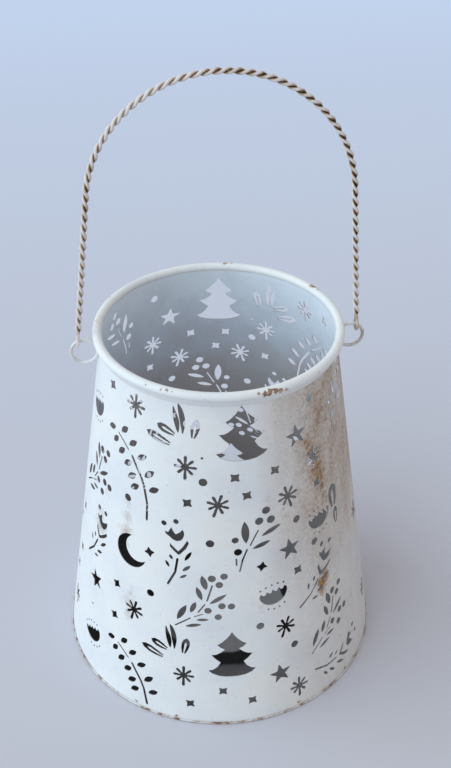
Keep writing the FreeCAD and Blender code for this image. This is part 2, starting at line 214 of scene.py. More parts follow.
def tree():
    """Three flared tiers over a curved foot, about its tip."""
    side = [
        (1.2, -2.0), (2.9, -4.2), (5.2, -6.4), (7.3, -7.8), (5.6, -9.6), (3.5, -10.6),
        (5.4, -12.4), (7.8, -13.8), (10.4, -14.2), (8.0, -17.0), (5.8, -18.9), (7.4, -21.6),
        (9.6, -23.4), (12.0, -24.0), (10.0, -26.0), (6.5, -27.5), (3.3, -28.0),
    ]
    left = [(-x, y) for x, y in reversed(side)]
    return [(0, 0)] + side + [(0, -28.1)] + left


def moon():
    """A crescent, open to the upper right."""
    outer_radius, inner_radius, shift = 9.2, 7.3, 5.0
    outer_steps, inner_steps = 28, 20
    chord = (outer_radius**2 - inner_radius**2 + shift**2) / (2 * shift)
    outer_half = math.acos(chord / outer_radius)
    inner_half = math.acos((chord - shift) / inner_radius)
    outline = []
    for k in range(outer_steps + 1):
        a = outer_half + (2 * math.pi - 2 * outer_half) * k / outer_steps
        outline.append((outer_radius * math.cos(a), outer_radius * math.sin(a)))
    for k in range(inner_steps - 1, 0, -1):
        a = inner_half + (2 * math.pi - 2 * inner_half) * k / inner_steps
        outline.append((shift + inner_radius * math.cos(a), inner_radius * math.sin(a)))
    return turned(outline, 37)


def split_leaf(x0, y0, x1, y1, width):
    """A leaf whose middle rib stays, so the cut-out is a hairpin round it."""
    length = math.hypot(x1 - x0, y1 - y0)
    heading = math.degrees(math.atan2(y1 - y0, x1 - x0))
    shares = [
        (0.0, 0.20), (0.28, 0.40), (0.60, 0.50), (0.85, 0.38), (1.0, 0.0), (0.85, -0.38),
        (0.60, -0.50), (0.28, -0.40), (0.0, -0.20), (0.0, -0.05), (0.30, -0.10), (0.60, -0.13),
        (0.72, 0.0), (0.60, 0.13), (0.30, 0.10), (0.0, 0.05),
    ]
    return turned([(a * length, b * width) for a, b in shares], heading, (x0, y0))


def half_flower():
    """Five low points above a round bowl, hung from the middle of its top chord."""
    bowl = []
    for k in range(1, 12):
        a = math.pi * k / 12
        bowl.append((7.5 * math.cos(a), -6.9 * math.sin(a)))
    crown = [
        (-7.5, 0.0), (-7.2, 0.7), (-6.3, 1.7), (-5.2, 0.4), (-4.3, 0.3), (-3.2, 2.0),
        (-1.9, 0.5), (-1.1, 0.5), (0.0, 2.2), (1.1, 0.5), (1.9, 0.5), (3.2, 2.0),
        (4.3, 0.3), (5.2, 0.4), (6.3, 1.7), (7.2, 0.7), (7.5, 0.0),
    ]
    return crown + bowl


def tuft():
    """Two full leaves and three split ones, fanned out from one point."""
    return [
        softened([(1.6, 1.9), (-0.7, 8.0), (-1.2, 15.0), (0.5, 12.0), (2.2, 7.0)]),
        softened([(3.9, 1.6), (4.9, 8.0), (3.4, 14.0), (1.0, 16.5), (1.9, 10.0), (2.9, 5.0)]),
        split_leaf(8.65, 0.2, 10.2, 10.0, 4.3),
        split_leaf(0.0, 0.6, -8.8, 4.2, 4.3),
        split_leaf(-2.0, -4.8, -14.3, -0.9, 4.4),
    ]


# The stem runs down to the wall's lower edge; the lower laurel leaves out its last point
laurel_stem = [(2.5, -2.2), (8.5, -10.6), (10.6, -14.9), (13.2, -24.3), (13.6, -33.0)]


def laurel(stem):
    """A branch with eleven leaves down both sides of its stem."""
    return [
        leaf(-10.0, 7.6, -15.3, 5.5, 3.3),
        leaf(-5.5, 7.2, -1.3, 11.4, 3.3),
        leaf(0.2, 2.7, 4.8, 6.7, 3.2),
        leaf(-7.5, 3.6, -10.9, -0.6, 3.2),
        leaf(-2.5, -0.5, -6.7, -4.9, 3.3),
        leaf(2.4, -5.3, -2.3, -8.9, 3.4),
        leaf(5.7, -10.9, 0.7, -14.7, 3.4),
        leaf(7.8, -16.1, 2.9, -19.7, 3.4),
        leaf(5.6, -2.2, 10.9, 1.4, 3.2),
        leaf(10.5, -10.2, 15.5, -5.2, 3.3),
        leaf(13.5, -16.9, 18.7, -13.6, 3.3),
        slot(0.8, (-7.5, 5.6), (-3.8, 3.1), (0.0, 0.0)),
        slot(1.3, *stem),
    ]


def berry_sprig():
    """Five berries and three leaves on thin stalks."""
    return [
        dot(9.3, 19.1, 2.1), dot(5.8, 13.9, 2.1), dot(11.6, 13.6, 2.1),
        dot(-5.9, 5.0, 1.7), dot(-4.7, -1.9, 2.0),
        leaf(-0.7, 2.5, -1.3, 15.0, 3.9),
        leaf(6.7, 5.4, 16.8, 9.7, 2.7),
        leaf(2.2, -1.0, 11.3, 1.9, 2.5),
        slot(0.9, (-5.6, -9.2), (-5.6, -5.8)),
        slot(0.8, (1.2, 1.2), (5.2, 8.9)),
        slot(0.9, (-0.3, -0.9), (-2.7, -6.8), (-4.1, -13.0)),
    ]


def rose_sprig():
    """Seven berries and seven leaves on a long branch."""
    return [
        dot(3.0, 15.0, 2.0), dot(8.8, 16.4, 1.85), dot(6.6, 11.5, 1.85), dot(1.3, -4.1, 1.85),
        dot(8.0, -1.1, 1.85), dot(12.6, -1.4, 1.85), dot(6.3, -7.8, 1.85),
        leaf(0.4, 8.0, -1.9, 16.6, 3.3),
        leaf(-1.7, 1.9, -4.4, 9.7, 2.7),
        leaf(1.9, 0.0, 10.3, 5.9, 2.4),
        leaf(-7.3, -6.2, -4.7, 0.6, 2.7),
        leaf(-14.1, -11.4, -9.3, -1.9, 3.1),
        leaf(-9.9, -14.8, -1.7, -12.7, 2.1),
        leaf(-4.5, -10.2, 1.8, -9.5, 1.7),
        slot(0.9, (0.8, 1.8), (3.2, 10.9)),
        slot(0.8, (-3.5, -5.4), (-0.3, -0.5)),
        slot(0.6, (-5.4, -8.4), (-1.2, -6.3)),
        slot(0.8, (-15.0, -15.2), (-7.4, -9.5)),
    ]


def tulip_sprig():
    """An open tulip under two dots, with five leaves down its stem."""
    return [
        dot(-7.6, 15.5, 1.4), dot(-1.6, 17.8, 1.4),
        [(-7.2, 11.2), (-5.4, 11.0), (-4.6, 12.6), (-3.8, 14.2), (-2.9, 12.2), (-1.6, 10.7),
         (0.2, 12.0), (1.7, 14.0), (2.4, 12.8), (2.6, 11.2), (2.1, 9.2), (1.0, 7.6),
         (-1.1, 6.8), (-3.0, 7.4), (-4.6, 8.6), (-6.6, 9.8)][::-1],
        [(-4.5, 5.1), (-2.6, 3.4), (-0.1, 1.3), (2.0, 4.2), (4.1, 8.3), (5.0, 6.8),
         (3.6, 3.4), (0.6, -0.5), (-0.2, -0.7), (-2.2, 0.9), (-4.3, 3.0)][::-1],
        leaf(3.1, -3.6, 6.4, 2.3, 1.9),
        leaf(-2.9, -4.2, -4.5, -1.4, 1.6),
        leaf(2.2, -9.7, 6.1, -5.9, 1.9),
        leaf(0.9, -14.0, 4.5, -11.4, 1.5),
        leaf(-4.4, -8.9, -6.5, -5.3, 1.6),
        slot(1.2, (-0.4, -3.1), (-1.4, -11.0), (-5.0, -18.9)),
    ]


def half_flower_group():
    """A half flower with pips above and below it."""
    pips = [
        (-6.2, 3.8), (-3.2, 4.6), (0.0, 4.9), (3.2, 4.6), (6.2, 3.8),
        (-4.4, -8.5), (-1.5, -9.6), (1.5, -9.6), (4.4, -8.5),
    ]
    return [half_flower()] + [dot(x, y, 0.6, 8) for x, y in pips]


# Each motif's outlines, then its places: degrees round, share of the height, tilt
motif_run = [
    ([tree()], [(10.4, 0.974, 0), (4.9, 0.313, 0)]),
    (tuft(), [(-19.3, 0.885, 0), (-19.6, 0.233, 0)]),
    ([split_leaf(0, 0, 0, 13.6, 7.6)], [(56.0, 0.577, 0)]),
    ([split_leaf(0, 0, 0, 9.6, 4.3)], [(57.0, 0.522, 0)]),
    (laurel(laurel_stem), [(-42.4, 0.798, 0)]),
    (laurel(laurel_stem[:-1]), [(-35.9, 0.151, 0)]),
    (berry_sprig(), [(11.7, 0.572, 0), (66.0, 0.855, 0)]),
    (rose_sprig(), [(-5.1, 0.404, 0), (48.0, 0.241, 0), (-64.2, 0.654, 0)]),
    (
        tulip_sprig(),
        [(-16.1, 0.549, 0), (-58.0, 0.466, -19), (44.2, 0.405, -34), (51.8, 0.080, -86)],
    ),
    ([moon()], [(-37.6, 0.506, 0)]),
    (
        half_flower_group(),
        [(21.6, 0.416, 9), (-57.2, 0.140, 26), (46.0, 0.588, 4), (-71.0, 0.845, 20)],
    ),
    (
        [snowflake()],
        [
            (-39.8, 0.931, 0), (-14.1, 0.804, 0), (-0.2, 0.703, -18), (30.0, 0.695, 15),
            (45.1, 0.771, 0), (-34.5, 0.323, -12), (26.1, 0.296, -20), (-13.0, 0.159, 0),
            (30.5, 0.073, 0), (-77.0, 0.150, 10), (78.0, 0.455, 0), (80.0, 0.150, -12),
        ],
    ),
    ([star()], [(36.2, 0.855, 5), (29.7, 0.536, 6), (-57.7, 0.320, 22), (23.1, 0.142, 7)]),
    (
        [diamond()],
        [
            (-56.8, 0.943, 63), (7.0, 0.779, 45), (24.6, 0.781, 40), (11.9, 0.725, 52),
            (-12.9, 0.703, 53), (46.1, 0.688, 48), (-28.7, 0.528, 15), (17.3, 0.507, 77),
            (32.8, 0.460, 48), (-44.0, 0.373, 66), (-44.2, 0.266, 66), (1.5, 0.115, 45),
            (12.1, 0.075, 50), (-10.3, 0.065, 52), (-78.0, 0.471, 60), (-84.0, 0.412, 50),
            (-76.0, 0.332, 60), (-80.0, 0.251, 45),
        ],
    ),
    (
        [dot(0, 0, 2.05, 18)],
        [
            (-6.4, 0.767, 0), (-3.4, 0.590, 0), (-41.0, 0.660, 0), (-27.4, 0.401, 0),
            (15.8, 0.320, 0), (29.5, 0.224, 0), (33.7, 0.616, 0), (42.2, 0.519, 0),
            (45.6, 0.936, 0),
        ],
    ),
    ([dot(0, 0, 0.7, 8)], [(-6.9, 0.834, 0), (-58.8, 0.227, 0)]),
]


# Modelling


def nothing_selected():
    if bpy.context.mode != "OBJECT":
        bpy.ops.object.mode_set(mode="OBJECT")
    bpy.ops.object.select_all(action="DESELECT")


def active(obj):
    nothing_selected()
    obj.select_set(True)
    bpy.context.view_layer.objects.active = obj
    return obj


def line_object(name, loops):
    """A mesh of closed lines only."""
    points = []
    edges = []
    for loop in loops:
        first = len(points)
        points += [tuple(point) for point in loop]
        edges += [(first + i, first + (i + 1) % len(loop)) for i in range(len(loop))]
    mesh = bpy.data.meshes.new(name)
    mesh.from_pydata(points, edges, [])
    obj = bpy.data.objects.new(name, mesh)
    bpy.context.scene.collection.objects.link(obj)
    return active(obj)


def merged(obj):
    """Doubles merged and normals turned outwards."""
    active(obj)
    bpy.ops.object.mode_set(mode="EDIT")
    bpy.ops.mesh.select_all(action="SELECT")
    bpy.ops.mesh.remove_doubles(threshold=merge_gap)
    bpy.ops.mesh.normals_make_consistent(inside=False)
    bpy.ops.object.mode_set(mode="OBJECT")
    return obj


def finished(obj, smooth_angle=35):
    """Place taken into the mesh, doubles merged, normals outwards, smooth shading."""
    active(obj)
    bpy.ops.object.transform_apply(location=True, rotation=True, scale=True)
    merged(obj)
    bpy.ops.object.shade_smooth_by_angle(angle=math.radians(smooth_angle))
    return obj


def modified(obj, kind, **settings):
    """One modifier, applied."""
    active(obj)
    modifier = obj.modifiers.new(kind.lower(), kind)
    for key, value in settings.items():
        setattr(modifier, key, value)
    bpy.ops.object.modifier_apply(modifier=modifier.name)
    return obj


def sheet_place(angle, height):
    """Where an angle round the wall and a height lie on the flat sheet."""
    reach = wall_radius(height) * slant_share
    swing = math.radians(angle) / slant_share
    return Vector((reach * math.sin(swing), -reach * math.cos(swing), 0))


def flat_sheet():
    """The wall before it is rolled: an arc-shaped blank with the pattern punched out."""
    edge_steps = 2 * wall_bends
    turns = [seam_angle + 360 * step / edge_steps for step in range(edge_steps + 1)]
    blank = [sheet_place(turn, pan_sheet) for turn in turns]
    blank += [sheet_place(turn, wall_height) for turn in reversed(turns)]
    loops = [blank]
    for outlines, places in motif_run:
        for angle, share, tilt in places:
            for run in range(pattern_runs):
                turn = angle + pattern_turn + run_turn * run
                anchor = sheet_place(turn, share * wall_height)
                swing = math.radians(turn) / slant_share + math.radians(tilt)
                spin = Matrix.Rotation(swing, 3, "Z")
                for outline in outlines:
                    loops.append([
                        anchor + spin @ Vector((x * mm, y * mm, 0)) for x, y in outline
                    ])
    obj = line_object("pierced_sheet", loops)
    bpy.ops.object.mode_set(mode="EDIT")
    bpy.ops.mesh.select_all(action="SELECT")
    bpy.ops.mesh.fill(use_beauty=True)
    for step in range(1, wall_bends):
        swing = math.radians(seam_angle + 360 * step / wall_bends) / slant_share
        bpy.ops.mesh.select_all(action="SELECT")
        bpy.ops.mesh.bisect(
            plane_co=(0, 0, 0), plane_no=(math.cos(swing), math.sin(swing), 0), threshold=cut_gap
        )
    bpy.ops.object.mode_set(mode="OBJECT")
    return obj


def rolled(obj):
    """Rolls the flat sheet round the lantern's axis."""
    count = len(obj.data.vertices)
    flat = np.empty(count * 3)
    obj.data.vertices.foreach_get("co", flat)
    flat = flat.reshape(count, 3)
    reach = np.hypot(flat[:, 0], flat[:, 1])
    turn = np.arctan2(flat[:, 0], -flat[:, 1]) * slant_share
    radius = reach / slant_share
    height = (base_radius * slant_share - reach) * math.cos(wall_lean)
    round_points = np.stack([radius * np.sin(turn), -radius * np.cos(turn), height], axis=1)
    obj.data.vertices.foreach_set("co", round_points.ravel())
    obj.data.update()
    return obj


def pierced_wall():
    """The rolled sheet with its thickness, painted outside, primed inside with painted light
    towards the mouth, rubbed at edges.
    """
    obj = merged(rolled(flat_sheet()))
    for material in (wall_paint, inside_primer_and_painted_light, punched_edge):
        obj.data.materials.append(material)
    modified(
        obj, "SOLIDIFY", thickness=sheet, offset=-1, material_offset=1, material_offset_rim=2
    )
    bpy.ops.object.shade_smooth_by_angle(angle=math.radians(30))
    return obj


def spun(name, profile):
    """A closed outline in the XZ plane spun round the lantern's axis."""
    obj = line_object(name, [[Vector((x, 0, z)) for x, z in profile]])
    bpy.ops.object.mode_set(mode="EDIT")
    bpy.ops.mesh.select_all(action="SELECT")
    bpy.ops.mesh.spin(
        steps=round_steps, angle=2 * math.pi, center=(0, 0, 0), axis=(0, 0, 1), use_auto_merge=True
    )
    bpy.ops.object.mode_set(mode="OBJECT")
    return finished(obj, 50)


def rolled_rim():
    """A round bead over the wall's top edge, with a skirt down its outside."""
    bead_height = wall_height + bead_lift
    half_seat = math.sqrt(bead_radius**2 - bead_lift**2)
    bead_reach = top_radius - sheet + half_seat
    skirt_low = wall_height - skirt_drop
    skirt_inner = wall_radius(skirt_low) + fit
    skirt_outer = skirt_inner + skirt_sheet
    start = math.pi + math.asin(bead_lift / bead_radius)
    end = -math.pi + math.acos((bead_reach - skirt_outer) / bead_radius)
    profile = []
    for step in range(bead_steps + 1):
        turn = start + (end - start) * step / bead_steps
        profile.append((
            bead_reach + bead_radius * math.cos(turn),
            bead_height + bead_radius * math.sin(turn),
        ))
    profile += [
        (skirt_outer, skirt_low + skirt_edge),
        (skirt_outer - skirt_edge, skirt_low),
        (skirt_inner, skirt_low),
        (top_radius + fit, wall_height),
    ]
    return spun("rolled_rim_smooth", profile)


def pressed_pan():
    """The base: a flat disc with a low lip that stands round the wall's foot."""
    lip_inner = base_radius + fit
    lip_outer = lip_inner + pan_sheet
    return spun("pressed_pan", [
        (pan_centre, 0),
        (lip_outer - 2 * pan_edge, 0),
        (lip_outer - 0.6 * pan_edge, 0.4 * pan_edge),
        (lip_outer, 1.6 * pan_edge),
        (lip_outer, pan_lip_height - pan_edge),
        (lip_outer - 0.5 * pan_edge, pan_lip_height),
        (lip_inner + 0.5 * pan_edge, pan_lip_height),
        (lip_inner, pan_lip_height - pan_edge),
        (lip_inner, pan_sheet),
        (pan_centre, pan_sheet),
    ])


def seam_lap():
    """The lap of the side seam: a strip over the joint, at the back left."""
    low = pan_lip_height + seam_gap
    high = wall_height - skirt_drop - seam_gap
    nothing_selected()
    bpy.ops.mesh.primitive_cube_add(size=1)
    obj = bpy.context.object
    obj.name = "side_seam_lap"
    turn = math.radians(seam_angle)
    outward = Vector((math.sin(turn), -math.cos(turn), 0))
    sideways = Vector((math.cos(turn), math.sin(turn), 0))
    for vertex in obj.data.vertices:
        height = high if vertex.co.z > 0 else low
        reach = wall_radius(height) + (seam_rise if vertex.co.x > 0 else -sheet / 2)
        side = math.copysign(seam_width / 2, vertex.co.y)
        vertex.co = outward * reach + sideways * side + Vector((0, 0, height))
    modified(obj, "BEVEL", width=seam_edge, segments=2)
    return finished(obj)


def bail_ring(side):
    """One wire ring in the plane of the bail, soldered to the wall at its root."""
    nothing_selected()
    bpy.ops.mesh.primitive_torus_add(
        location=(side * ring_reach, 0, ring_height),
        rotation=(math.pi / 2, 0, 0),
        major_radius=ring_radius,
        minor_radius=ring_wire_radius,
        major_segments=72,
        minor_segments=16,
    )
    ring = bpy.context.object
    ring.name = "bail_ring_right" if side > 0 else "bail_ring_left"
    bpy.ops.object.transform_apply(location=True, rotation=True, scale=True)
    bpy.ops.mesh.primitive_uv_sphere_add(
        segments=24,
        ring_count=16,
        radius=1.0,
        location=(side * (wall_radius(ring_height) + solder_out), 0, ring_height),
        scale=solder_size,
    )
    solder = bpy.context.object
    bpy.ops.object.transform_apply(location=True, rotation=True, scale=True)
    active(ring)
    solder.select_set(True)
    bpy.ops.object.join()
    modified(ring, "REMESH", mode="VOXEL", voxel_size=ring_voxel)
    modified(ring, "SMOOTH", factor=0.5, iterations=6)
    return finished(ring, 80)


def bail_path():
    """The bail's length between its necks, and a finder for points on its middle line."""
    centre = (arch_sway, hinge_height + arch_rise)
    neck = eye_radius + neck_length
    legs = []
    for side in (-1, 1):
        foot = (side * hinge_reach, hinge_height)
        span = math.hypot(foot[0] - centre[0], foot[1] - centre[1])
        bearing = math.atan2(foot[1] - centre[1], foot[0] - centre[0])
        touch = bearing + side * math.acos(arch_radius / span)
        legs.append((foot, math.sqrt(span**2 - arch_radius**2) - neck, touch))
    (left_foot, left_leg, left_touch), (right_foot, right_leg, right_touch) = legs
    arc = arch_radius * ((left_touch - right_touch) % (2 * math.pi))
    length = left_leg + arc + right_leg

    def along(foot, heading, distance):
        return (foot[0] + distance * math.cos(heading), foot[1] + distance * math.sin(heading))

    def at(distance):
        if distance < left_leg:
            heading = left_touch - math.pi / 2
            return along(left_foot, heading, distance + neck), heading
        if distance > left_leg + arc:
            heading = right_touch - math.pi / 2
            return along(right_foot, heading, distance - length - neck), heading
        turn = left_touch - (distance - left_leg) / arch_radius
        return along(centre, turn, arch_radius), turn - math.pi / 2

    return length, at


def strand_line(front):
    """The middle line of one wire: an eye, the twist along the bail and the other eye."""
    length, at = bail_path()
    turns = round(length / twist_pitch)
    count = turns * stations_per_turn
    line = []
    for step in range(count + 1):
        (x, z), heading = at(length * step / count)
        phase = 2 * math.pi * turns * step / count
        across = front * lay_radius * math.cos(phase)
        lift = -front * lay_radius * math.sin(phase)
        outward = Vector((-math.sin(heading), 0, math.cos(heading)))
        line.append(Vector((x, across, z)) + outward * lift)
    eyes = []
    for side in (-1, 1):
        eye = []
        for step in range(eye_steps + 1):
            turn = math.radians(eye_turn * step / eye_steps - 90)
            across = front * eye_radius * math.cos(turn)
            rise = eye_radius * math.sin(turn)
            eye.append(Vector((side * hinge_reach, across, hinge_height + rise)))
        eyes.append(eye)
    return eyes[0] + line + eyes[1][::-1]


def bail_strand(name, front):
    """One round wire along its line.

    Its crest attribute says how far out of the twist's groove a point lies, for worn paint and
    painted shade in the grooves.
    """
    line = strand_line(front)
    curve = bpy.data.curves.new(name, "CURVE")
    curve.dimensions = "3D"
    curve.bevel_depth = strand_radius
    curve.bevel_resolution = 3
    curve.use_fill_caps = True
    spline = curve.splines.new("POLY")
    spline.points.add(len(line) - 1)
    for point, place in zip(spline.points, line):
        point.co = (*place, 1)
    obj = bpy.data.objects.new(name, curve)
    bpy.context.scene.collection.objects.link(obj)
    active(obj)
    bpy.ops.object.convert(target="MESH")
    obj = bpy.context.object
    finished(obj, 60)
    length, at = bail_path()
    middle = []
    for step in range(path_samples + 1):
        x, z = at(length * step / path_samples)[0]
        middle.append((x, 0, z))
    middle = np.array(middle)
    places = np.array([vertex.co for vertex in obj.data.vertices])
    away = np.empty(len(places))
    batch = 2000
    for start in range(0, len(places), batch):
        part = places[start:start + batch]
        gap = np.linalg.norm(part[:, None, :] - middle[None, :, :], axis=2).min(axis=1)
        away[start:start + batch] = gap / (lay_radius + strand_radius)
    crest = obj.data.attributes.new("crest", "FLOAT", "POINT")
    crest.data.foreach_set("value", np.clip(away, 0, 1.2))
    return obj


# Materials


def linear(code):
    """An sRGB hex colour as linear red, green, blue and alpha."""
    out = []
    for i in (1, 3, 5):
        value = int(code[i:i + 2], 16) / 255
        out.append(value / 12.92 if value <= 0.04045 else ((value + 0.055) / 1.055) ** 2.4)
    return (*out, 1)


def add(tree, kind, inputs=(), out=0, stops=(), **options):
    """Adds a node with its options and inputs, and returns one of its outputs.

    Inputs come in the node's own order or by name, each a value or another node's output.
    Stops are a colour ramp's pairs of place and hex colour. out=None returns all outputs.
    """
    node = tree.nodes.new("ShaderNode" + kind)
    for option, value in options.items():
        setattr(node, option, value)
    for key, value in inputs.items() if isinstance(inputs, dict) else enumerate(inputs):
        if isinstance(value, bpy.types.NodeSocket):
            tree.links.new(value, node.inputs[key])
        else:
            node.inputs[key].default_value = value
    if stops:
        elements = node.color_ramp.elements
        while len(elements) < len(stops):
            elements.new(0.5)
        for element, (place, code) in zip(elements, stops):
            element.position = place
            element.color = linear(code)
    return node.outputs if out is None else node.outputs[out]


def emptied(block):
    """The node tree of a material or a world, with nothing in it."""
    block.use_nodes = True
    block.node_tree.nodes.clear()
    return block.node_tree


def new_material(name):
    """A new material, its empty node tree and the place of each point on the object."""
    material = bpy.data.materials.new(name)
    tree = emptied(material)
    return material, tree, add(tree, "TexCoord", out="Object")


def surfaced(material, colour, roughness, relief=None, strength=0.2, depth=0.1 * mm):
    """Ends a material with its colour, its roughness and, where it has one, its relief."""
    tree = material.node_tree
    inputs = {"Base Color": colour, "Roughness": roughness}
    if relief is not None:
        inputs["Normal"] = add(
            tree, "Bump", {"Height": relief, "Strength": strength, "Distance": depth}
        )
    add(tree, "OutputMaterial", [add(tree, "BsdfPrincipled", inputs)], out=None)
    return material


def layered(tree, colour, *coats):
    """A colour under some coats, each a share of cover and a hex colour or an output."""
    share_input, under_input, over_input, colour_output = 0, 6, 7, 2
    for share, coat in coats:
        if isinstance(coat, str):
            coat = linear(coat)
        colour = add(
            tree, "Mix", {share_input: share, under_input: colour, over_input: coat},
            out=colour_output, data_type="RGBA",
        )
    return colour


def near(tree, place, spot, radius, strength):
    """A soft ball of influence: its strength at a spot, falling to 0 at its radius."""
    gap = add(tree, "VectorMath", [place, spot], out="Value", operation="DISTANCE")
    return add(tree, "MapRange", [gap, 0.0, radius, strength, 0.0])


def spots_mask(tree, place, wear, grain, floor, gain):
    """Broken patches round some spots: 1 inside them, 0 away from them."""
    balls = [near(tree, place, *spot) for spot in wear]
    reach = balls[0]
    for ball in balls[1:]:
        reach = add(tree, "Math", [reach, ball], operation="MAXIMUM")
    coarse = add(
        tree, "TexNoise", {"Vector": place, "Scale": 1 / grain, "Detail": 8, "Distortion": 0.6}
    )
    fine = add(tree, "TexNoise", {"Vector": place, "Scale": 4 / grain, "Detail": 6})
    broken = add(tree, "Math", [coarse, 0.7, reach], operation="MULTIPLY_ADD")
    broken = add(tree, "Math", [fine, 0.3, broken], operation="MULTIPLY_ADD")
    return add(tree, "MapRange", [broken, floor, floor + 1 / gain])


def browner_side(tree, place, angle):
    """How far a point lies into one side, which is made darker and browner, most above half
    height.
    """
    x, y, height = add(tree, "SeparateXYZ", [place], out=None)
    way = add(tree, "VectorMath", [add(tree, "CombineXYZ", [x, y])], operation="NORMALIZE")
    toward = add(
        tree, "VectorMath", [way, round_axis(angle, 1, 0)], out="Value", operation="DOT_PRODUCT"
    )
    side = add(tree, "MapRange", [toward, 0.60, 0.93])
    tall = add(tree, "MapRange", [height, 62 * mm, 118 * mm, 0.36, 1.0])
    streaks = add(tree, "VectorMath", [place, (1, 1, 0.35)], operation="MULTIPLY")
    cloud = add(
        tree, "TexNoise",
        {"Vector": streaks, "Scale": 1 / (11 * mm), "Detail": 7, "Distortion": 0.5},
    )
    cloud = add(tree, "MapRange", [cloud, 0.30, 0.62, 0.55, 1.0])
    browner_share = add(tree, "Math", [side, tall], operation="MULTIPLY")
    return add(tree, "Math", [browner_share, cloud], operation="MULTIPLY")


def chalk_paint(name, rust, ochre, flaked, chip_size, chip_share, browner_side_angle=None):
    """Chalky white acrylic, brushed over tinplate and rubbed through at the edges.

    It looks matt and a little patchy, cool where it is thick and warm where it is thin,
    with brown smears where rust has bled through and small red-brown chips.
    """
    material, tree, place = new_material(name)
    patches, mottle, fine, specks, brush = (
        add(tree, "TexNoise", {"Vector": place, "Scale": 1 / size, "Detail": detail})
        for size, detail in (
            (28 * mm, 5), (5 * mm, 6), (1.6 * mm, 6), (1.1 * mm, 3), (0.9 * mm, 3)
        )
    )
    white = add(
        tree, "ValToRGB", [patches],
        stops=[(0.30, "#dcdfe3"), (0.52, "#e4e6e8"), (0.75, "#e9e8e6")],
    )
    coats = [(add(tree, "MapRange", [mottle, 0.52, 0.78, 0.0, 0.10]), "#c2b7af")]
    # One side of the wall is made darker and browner, most above half height.
    if browner_side_angle is not None:
        browner_share = browner_side(tree, place, browner_side_angle)
        veil = add(
            tree, "ValToRGB", [fine],
            stops=[(0.32, "#a4917e"), (0.50, "#b6a595"), (0.70, "#c7bbaf")],
        )
        coats.append((browner_share, veil))
        specks = add(tree, "Math", [browner_share, 0.06, specks], operation="MULTIPLY_ADD")
    smear = spots_mask(tree, place, rust, 6 * mm, 0.80, 1.6)
    specks = add(tree, "Math", [smear, 0.12, specks], operation="MULTIPLY_ADD")
    speckled = add(tree, "MapRange", [specks, 0.70, 0.78, 0.0, 0.75])
    stained = spots_mask(tree, place, ochre, 2.6 * mm, 0.84, 3.5)
    bared = spots_mask(tree, place, flaked, 1.8 * mm, 0.84, 9.0)
    rust_tint, ochre_tint, bare_tint = (
        add(tree, "ValToRGB", [fine], stops=stops)
        for stops in (
            [(0.30, "#7a5a42"), (0.50, "#a2836b"), (0.70, "#c2aa97")],
            [(0.34, "#4a3423"), (0.48, "#8f6339"), (0.66, "#c0935a")],
            [(0.36, "#634838"), (0.50, "#9c7965"), (0.64, "#c0a697")],
        )
    )
    chips = add(
        tree, "TexNoise",
        {"Vector": place, "Scale": 1 / chip_size, "Detail": 5, "Distortion": 0.4},
    )
    chipped = add(tree, "Math", [chips, chip_share], operation="GREATER_THAN")
    coats += [
        (smear, rust_tint), (speckled, "#6f4c38"), (stained, ochre_tint), (bared, bare_tint),
        (chipped, "#7d5f4e"),
    ]
    return surfaced(material, layered(tree, white, *coats), 0.55, brush, 0.18, 0.12 * mm)


def primer_and_painted_light():
    """Grey primer inside the wall, slightly satin, painted paler and bluer towards the mouth as
    painted light falling in there.
    """
    material, tree, place = new_material("grey_primer_inside_and_painted_light")
    height = add(tree, "SeparateXYZ", [place], out="Z")
    cloud = add(tree, "TexNoise", {"Vector": place, "Scale": 1 / (16 * mm), "Detail": 6})
    grain = add(tree, "TexNoise", {"Vector": place, "Scale": 1 / (0.9 * mm), "Detail": 4})
    # Painted light: paler and bluer with height, where light falls in at the mouth.
    share = add(tree, "MapRange", [height, 55 * mm, 187 * mm, -0.4, 0.6])
    share = add(tree, "Math", [cloud, 0.5, share], operation="MULTIPLY_ADD")
    share = add(tree, "Math", [grain, 0.3, share], operation="MULTIPLY_ADD")
    colour = add(
        tree, "ValToRGB", [share],
        stops=[(0.0, "#cbc5c4"), (0.45, "#d2cecf"), (0.72, "#dbe4f0"), (1.0, "#ebf5ff")],
    )
    return surfaced(material, colour, 0.42, grain, 0.2, 0.08 * mm)


def pan_with_dark_ring_and_painted_shade():
    """White paint outside; inside, the primer has a black ring, and painted shade darkens it
    towards the left.
    """
    material, tree, place = new_material("pan_with_dark_ring_and_painted_shade")
    x, y, height = add(tree, "SeparateXYZ", [place], out=None)
    level = add(tree, "CombineXYZ", [x, y])
    reach = add(tree, "VectorMath", [level], out="Value", operation="LENGTH")
    wobble = add(tree, "TexNoise", {"Vector": place, "Scale": 1 / (14 * mm), "Detail": 5})
    speck = add(tree, "TexNoise", {"Vector": place, "Scale": 1 / (4 * mm), "Detail": 5})
    # A black ring on the pan's floor, paler inside it than outside towards the wall.
    ring = add(tree, "Math", [wobble, 6 * mm, reach], operation="MULTIPLY_ADD")
    dark_ring = add(
        tree, "ValToRGB", [add(tree, "MapRange", [ring, 3 * mm, 87 * mm])],
        stops=[
            (0.0, "#c0c0c2"), (0.425, "#b4b4b6"), (0.44, "#0b0a0a"), (0.535, "#0a0909"),
            (0.56, "#7c7c7e"), (0.75, "#9a9a9d"), (0.95, "#a8a8ab"),
        ],
    )
    # Painted shade: the floor goes near black towards the left, where light does not reach it
    # inside the wall.
    left = add(tree, "MapRange", [x, -6 * mm, -44 * mm, 0.0, 0.92])
    paint = add(
        tree, "ValToRGB", [speck],
        stops=[(0.42, "#dcdfe2"), (0.54, "#cdc2b9"), (0.64, "#86654f")],
    )
    foot = add(tree, "Math", [height, 0.3 * mm], operation="LESS_THAN")
    outer = add(tree, "Math", [reach, base_radius + 0.02 * mm], operation="GREATER_THAN")
    inside = layered(tree, dark_ring, (left, "#1b1a1a"))
    outside = layered(tree, paint, (foot, "#7b6151"))
    return surfaced(material, layered(tree, inside, (outer, outside)), 0.6, speck)


